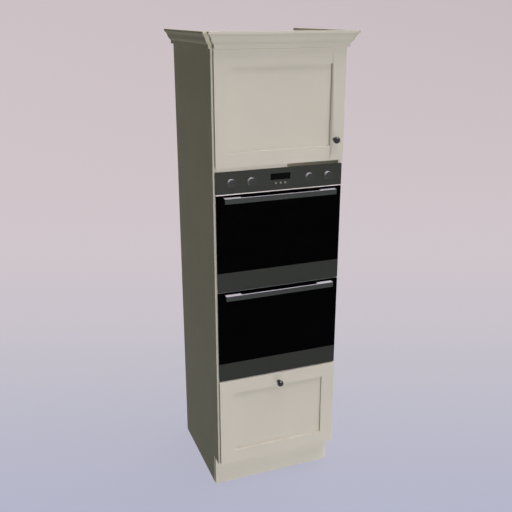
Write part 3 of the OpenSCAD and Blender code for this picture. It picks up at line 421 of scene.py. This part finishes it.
def soften(node, width, segments=2, skip=None, smooth_angle=50.0, extra=(), wide=None):
    """A copy of a CAD node with its sharp edges rounded.

    wide holds a larger width and a test that says which edges get it.
    """
    src = nodes[node]
    bm = bmesh.new()
    bm.from_mesh(src.data)
    bmesh.ops.remove_doubles(bm, verts=bm.verts, dist=DOUBLE)
    bmesh.ops.dissolve_limit(bm, angle_limit=math.radians(1.0), verts=bm.verts, edges=bm.edges)
    bm.normal_update()
    if wide:
        bevel(bm, wide[0], 3, wide[1])
        bm.normal_update()
    bevel(bm, width, segments, lambda e: not (skip and skip(e.verts[0].co, e.verts[1].co)))
    bmesh.ops.triangulate(bm, faces=[f for f in bm.faces if len(f.verts) > 4])
    return finish_piece(node + "_soft", bm, src["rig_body"], NODE_MATS[node],
                        smooth_angle, [node], extra)


rail_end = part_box("cupboard_door_rails")[1].x


def on_joint(a, b):
    """True on the hairline joints between stiles and rails."""
    return all(abs(abs(v.x) - rail_end) < ON_JOINT for v in (a, b))


def faces_up(face):
    return face.normal.z > 0.8


def faces_front(face):
    return face.normal.y < -0.5


def skirt_of(i):
    """A test for the faces of one knob's round side wall."""
    corners = [v.co for v in nodes[f"dial_{i}"].data.vertices]
    xs = [v.x for v in corners]
    zs = [v.z for v in corners]
    x, z = (min(xs) + max(xs)) / 2, (min(zs) + max(zs)) / 2
    reach = (max(xs) - min(xs)) / 2

    def test(face):
        c = face.calc_center_median()
        return abs(face.normal.y) < 0.3 and math.hypot(c.x - x, c.z - z) > 0.95 * reach
    return test


def upper_front(edge):
    """True on the long front edges whose neighbours face forwards and upwards."""
    turned = {(round(f.normal.y), round(f.normal.z)) for f in edge.link_faces}
    return turned == {(-1, 0), (0, 1)}


for node in ("cupboard_door_stiles", "drawer_front_stiles"):
    soften(node, FRONT_EDGE, skip=on_joint)
for node in ("cupboard_door_rails", "drawer_front_rails"):
    soften(node, FRONT_EDGE, skip=on_joint, wide=(LEDGE_EDGE, upper_front))
# The sides carry the paint with painted shade; their front edges keep the plain cream.
for node in ("side_panel_left", "side_panel_right"):
    soften(node, BOARD_EDGE, extra=[("paint_z", faces_front)])
soften("plinth_board", BOARD_EDGE)
soften("cornice_front", CORNICE_EDGE)
soften("cornice_returns", CORNICE_EDGE)
# Painted highlight: each handle's upward faces take the near-white metal.
for node in ("upper_door_handle", "lower_door_handle"):
    soften(node, HANDLE_EDGE, 3, extra=[("polished", faces_up)])
# Painted highlight: each dial's round side wall takes the near-white metal.
for i in (1, 2, 3, 4):
    soften(f"dial_{i}", KNOB_EDGE, extra=[("polished", skirt_of(i))])
for node in ("upper_door_band", "lower_door_band", "upper_door_glass",
             "lower_door_glass", "control_panel"):
    soften(node, OVEN_EDGE)


# ---- small fittings ----

SCREW_R, SCREW_T = 0.0036, 0.0018         # a screw head's radius and height
SHEET = 0.002                             # the steel of an angle bracket


def block(bm, lo, hi, soft):
    """A box between two corners with rounded edges."""
    verts = [bm.verts.new((x, y, z)) for x in (lo[0], hi[0])
             for y in (lo[1], hi[1]) for z in (lo[2], hi[2])]
    loops = [(0, 1, 3, 2), (4, 6, 7, 5), (0, 4, 5, 1), (2, 3, 7, 6), (0, 2, 6, 4), (1, 5, 7, 3)]
    faces = [bm.faces.new([verts[i] for i in loop]) for loop in loops]
    edges = list({e for f in faces for e in f.edges})
    bmesh.ops.bevel(bm, geom=edges, offset=soft, segments=2, profile=0.5, affect="EDGES")


def ring(bm, place, radius, height, count):
    """A loop of corners on a circle around the local z axis."""
    return [bm.verts.new(place @ Vector((radius * math.cos(2 * math.pi * k / count),
                                         radius * math.sin(2 * math.pi * k / count), height)))
            for k in range(count)]


def bridge(bm, low, high):
    """Faces between two closed loops with the same count of corners."""
    count = len(low)
    for k in range(count):
        n = (k + 1) % count
        bm.faces.new((low[k], low[n], high[n], high[k]))


def screw(bm, at, axis):
    """A pan head with a cross recess; at is the middle of its seat."""
    radius, height = SCREW_R, SCREW_T
    turn = Vector((0, 0, 1)).rotation_difference(Vector(axis)).to_matrix().to_4x4()
    place = Matrix.Translation(Vector(at)) @ turn
    shape = [(1.0, 0.0), (1.0, 0.35), (0.93, 0.65), (0.78, 0.88), (0.58, 1.0)]
    rings = [ring(bm, place, radius * r, height * h, 24) for r, h in shape]
    for low, high in zip(rings, rings[1:]):
        bridge(bm, low, high)
    arm, half = radius * 0.48, radius * 0.11
    cross = [(half, half), (half, arm), (-half, arm), (-half, half), (-arm, half), (-arm, -half),
             (-half, -half), (-half, -arm), (half, -arm), (half, -half), (arm, -half), (arm, half)]
    rim = [bm.verts.new(place @ Vector((x, y, height))) for x, y in cross]
    taper, floor = 0.8, 0.25              # how the recess narrows, and where it ends
    foot = [bm.verts.new(place @ Vector((x * taper, y * taper, height * floor)))
            for x, y in cross]
    bridge(bm, foot, rim)
    bm.faces.new(foot)
    edges = [bm.edges.get((loop[k], loop[(k + 1) % len(loop)])) or
             bm.edges.new((loop[k], loop[(k + 1) % len(loop)]))
             for loop in (rings[-1], rim) for k in range(len(loop))]
    bmesh.ops.triangle_fill(bm, edges=edges, use_beauty=True)


def screws(name, body, seats):
    """One piece with a screw on each seat, a pair of its middle and its axis."""
    bm = bmesh.new()
    for at, axis in seats:
        screw(bm, at, axis)
    bmesh.ops.recalc_face_normals(bm, faces=bm.faces)
    finish_piece(name, bm, body, "zinc", 35.0)


def hinge_screws():
    plate_half, plate_screw, plate_in = 0.025, 0.016, 0.022
    lo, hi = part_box("hinge_arms")
    screws("hinge_plate_screws", "housing",
           [((hi.x, hi.y - plate_in, mid + dz), (1, 0, 0))
            for mid in (lo.z + plate_half, hi.z - plate_half)
            for dz in (-plate_screw, plate_screw)])
    flange_half, flange_screw, flange_in = 0.031, 0.0245, 0.014
    lo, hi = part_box("hinge_cups")
    screws("hinge_cup_screws", "cupboard_door",
           [((hi.x - flange_in, hi.y, mid + dz), (0, 1, 0))
            for mid in (lo.z + flange_half, hi.z - flange_half)
            for dz in (-flange_screw, flange_screw)])


def bracket_screws():
    lo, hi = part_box("angle_brackets")
    plinth_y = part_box("plinth_board")[1].y
    half_w, hole_off = 0.020, 0.010   # half a bracket's width, and its holes' distance
    long_hole, short_hole = 0.018, 0.011    # the holes' distances along the two legs
    wall_x = 0.230                    # the wall brackets' distance from the middle
    mid = lo.z + half_w
    seats = []
    for side in (-1, 1):
        inner = side * hi.x
        seats += [((inner - side * SHEET, plinth_y + long_hole, mid + dz), (-side, 0, 0))
                  for dz in (-hole_off, hole_off)]
        seats.append(((inner - side * short_hole, plinth_y + SHEET, mid), (0, 1, 0)))
        seats += [((side * wall_x + dx, hi.y - long_hole, hi.z - SHEET), (0, 0, -1))
                  for dx in (-hole_off, hole_off)]
    screws("bracket_screws", "housing", seats)


def panel_trim():
    """The bright strip that shows between the control panel and the upper door."""
    lo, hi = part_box("control_panel")
    door_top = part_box("upper_door_glass")[1].z
    end_gap, set_back, depth = 0.001, 0.0004, 0.0020
    above_door, below_panel, edge = 0.0010, 0.0001, 0.0003
    bm = bmesh.new()
    block(bm, (lo.x + end_gap, lo.y + set_back, door_top + above_door),
          (hi.x - end_gap, lo.y + depth, lo.z - below_panel), edge)
    finish_piece("panel_trim", bm, "housing", "trim", 40.0)


def fan_cover(name, fan, cavity):
    """A shallow pan of enamelled sheet with rings of air holes, in front of one fan."""
    half, corner = 0.086, 0.022           # half the pan's side, and its corners' radius
    fan_room, wall = 0.0030, 0.0012       # room ahead of the fan, and the cavity's sheet
    bend_d, bend_grow, flange_grow = 0.001, 1.012, 1.10
    hole_r, hole_sides, ring_step, rings = 0.0042, 12, 0.014, 5
    sheet = 0.0008
    fan_lo, fan_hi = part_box(fan)
    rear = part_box(cavity)[1].y - wall
    front = fan_lo.y - fan_room
    x, z = (fan_lo.x + fan_hi.x) / 2, (fan_lo.z + fan_hi.z) / 2
    rim = []
    for cx, cz, start in ((1, 1, 0), (-1, 1, 90), (-1, -1, 180), (1, -1, 270)):
        for k in range(7):
            a = math.radians(start + 15 * k)
            rim.append((x + cx * (half - corner) + corner * math.cos(a),
                        z + cz * (half - corner) + corner * math.sin(a)))
    bm = bmesh.new()
    face_rim = [bm.verts.new((u, front, v)) for u, v in rim]
    loops = [face_rim]
    for row in range(rings):
        radius, count = ring_step * row, max(6 * row, 1)
        for k in range(count):
            a = 2 * math.pi * k / count
            u, v = x + radius * math.cos(a), z + radius * math.sin(a)
            turns = [2 * math.pi * i / hole_sides for i in range(hole_sides)]
            loops.append([bm.verts.new((u + hole_r * math.cos(t), front, v + hole_r * math.sin(t)))
                          for t in turns])
    edges = [bm.edges.new((loop[i], loop[(i + 1) % len(loop)]))
             for loop in loops for i in range(len(loop))]
    bmesh.ops.triangle_fill(bm, edges=edges, use_beauty=True)
    last = face_rim
    for grow, y in ((bend_grow, front + bend_d), (bend_grow, rear), (flange_grow, rear)):
        outer = [bm.verts.new((x + (u - x) * grow, y, z + (v - z) * grow)) for u, v in rim]
        bridge(bm, last, outer)
        last = outer
    bmesh.ops.recalc_face_normals(bm, faces=bm.faces)
    bmesh.ops.solidify(bm, geom=list(bm.faces), thickness=sheet)
    finish_piece(name, bm, "housing", "enamel", 35.0)


hinge_screws()
bracket_screws()
panel_trim()
fan_cover("upper_fan_cover", "upper_fan", "upper_cavity")
fan_cover("lower_fan_cover", "lower_fan", "lower_cavity")


# ---- floor, backdrop and light ----

STAGE_WAY = (0.355, 0.935, 0.0)           # the level direction in which the camera looks
STAGE_NEAR, STAGE_FAR = -1.0, 9.0         # where the floor's tones begin and end along it
STAGE_TONES = [                           # place between the two, and colour
    (0.05, (178, 180, 199)), (0.10, (183, 183, 199)), (0.169, (190, 188, 199)),
    (0.266, (198, 192, 200)), (0.415, (204, 195, 200)), (0.671, (204, 194, 198)),
    (0.9, (203, 192, 196)),
]
STAGE_GLOW = 0.90                         # share of the floor's look that needs no lamp
STAGE_INNER, STAGE_R = 2.0, 6.0           # rings of the flat floor
STAGE_CURVE, STAGE_TOP = 3.0, 9.0         # the bend up to the backdrop, and its height
STAGE_DROP = 0.0004                       # keeps the floor off the part's underside


def stage_material():
    """Pale floor whose tone drifts from cool grey near the camera to warm grey far away.

    What a camera, a mirror or glass sees of it mostly glows by itself.
    """
    mat = bpy.data.materials.new("stage")
    mat.use_nodes = True
    nt = mat.node_tree
    nt.nodes.clear()
    out = nt.nodes.new("ShaderNodeOutputMaterial")
    coord = nt.nodes.new("ShaderNodeTexCoord")
    along = nt.nodes.new("ShaderNodeVectorMath")
    along.operation = "DOT_PRODUCT"
    along.inputs[1].default_value = STAGE_WAY
    nt.links.new(coord.outputs["Object"], along.inputs[0])
    ramp = nt.nodes.new("ShaderNodeValToRGB")
    span = nt.nodes.new("ShaderNodeMapRange")
    span.inputs["From Min"].default_value = STAGE_NEAR
    span.inputs["From Max"].default_value = STAGE_FAR
    nt.links.new(along.outputs["Value"], span.inputs["Value"])
    nt.links.new(span.outputs["Result"], ramp.inputs["Fac"])
    elements = ramp.color_ramp.elements
    while len(elements) < len(STAGE_TONES):
        elements.new(0.5)
    for element, (place, tone) in zip(elements, STAGE_TONES):
        element.position = place
        element.color = lin(*tone)
    diffuse = nt.nodes.new("ShaderNodeBsdfDiffuse")
    glow = nt.nodes.new("ShaderNodeEmission")
    nt.links.new(ramp.outputs["Color"], diffuse.inputs["Color"])
    nt.links.new(ramp.outputs["Color"], glow.inputs["Color"])
    mix = nt.nodes.new("ShaderNodeMixShader")
    path = nt.nodes.new("ShaderNodeLightPath")
    seen = path.outputs["Is Camera Ray"]
    for name in ("Is Glossy Ray", "Is Transmission Ray"):
        either = nt.nodes.new("ShaderNodeMath")
        either.operation = "MAXIMUM"
        nt.links.new(seen, either.inputs[0])
        nt.links.new(path.outputs[name], either.inputs[1])
        seen = either.outputs[0]
    part = nt.nodes.new("ShaderNodeMath")
    part.operation = "MULTIPLY"
    part.inputs[1].default_value = STAGE_GLOW
    nt.links.new(seen, part.inputs[0])
    nt.links.new(part.outputs[0], mix.inputs["Fac"])
    nt.links.new(diffuse.outputs[0], mix.inputs[1])
    nt.links.new(glow.outputs[0], mix.inputs[2])
    nt.links.new(mix.outputs[0], out.inputs["Surface"])
    return mat


def make_stage():
    """Floor that curves up into a backdrop on every side."""
    bm = bmesh.new()
    steps, count = 8, 64
    profile = [(STAGE_INNER, 0.0), (STAGE_R, 0.0)]
    for i in range(1, steps + 1):
        a = math.pi / 2 * i / steps
        profile.append((STAGE_R + STAGE_CURVE * math.sin(a), STAGE_CURVE - STAGE_CURVE * math.cos(a)))
    profile.append((STAGE_R + STAGE_CURVE, STAGE_TOP))
    upright = Matrix.Identity(4)
    centre = bm.verts.new((0, 0, -STAGE_DROP))
    rings = [ring(bm, upright, r, z - STAGE_DROP, count) for r, z in profile]
    for k in range(count):
        bm.faces.new((centre, rings[0][k], rings[0][(k + 1) % count]))
    for low, high in zip(rings, rings[1:]):
        bridge(bm, high, low)
    me = bpy.data.meshes.new("floor")
    bm.to_mesh(me)
    bm.free()
    me.polygons.foreach_set("use_smooth", [True] * len(me.polygons))
    ob = bpy.data.objects.new("floor", me)
    scene.collection.objects.link(ob)
    me.materials.append(stage_material())
    ob.visible_diffuse = False
    ob.visible_shadow = False


make_stage()


def sun(name, direction, energy, colour, angle, shadow=True):
    """A sun that shines along a direction; its energy is in units of pi."""
    data = bpy.data.lights.new(name, "SUN")
    data.use_shadow = shadow
    data.energy = energy * math.pi
    data.color = colour
    data.angle = angle
    ob = bpy.data.objects.new(name, data)
    scene.collection.objects.link(ob)
    ob.rotation_mode = "QUATERNION"
    ob.rotation_quaternion = Vector(direction).to_track_quat("-Z", "Y")


COOL, ROSE, WARM = (0.985, 0.985, 1.0), (1.0, 0.955, 1.0), (1.0, 0.985, 0.97)
DOWN = (-0.16, 0.16, -1.0)
AMBIENT, AMBIENT_STRENGTH = (0.97, 1.0, 0.83, 1.0), 0.15

# The photograph shows no cast shadows, so only two of the suns cast them.
sun("key", (-0.15, 1.0, 0.06), 0.38, COOL, 0.50, shadow=False)
sun("bounce", (-0.35, 0.66, 0.66), 0.42, COOL, 0.8, shadow=False)
sun("top", DOWN, 0.60, ROSE, 0.8)
sun("top_fill", DOWN, 0.58, ROSE, 0.8, shadow=False)
sun("rear", (-0.75, -0.6, -0.25), 0.42, WARM, 0.6)

world = bpy.data.worlds.new("world")
scene.world = world
world.use_nodes = True
background = world.node_tree.nodes["Background"]
background.inputs["Color"].default_value = AMBIENT
background.inputs["Strength"].default_value = AMBIENT_STRENGTH

scene.view_settings.view_transform = "Standard"
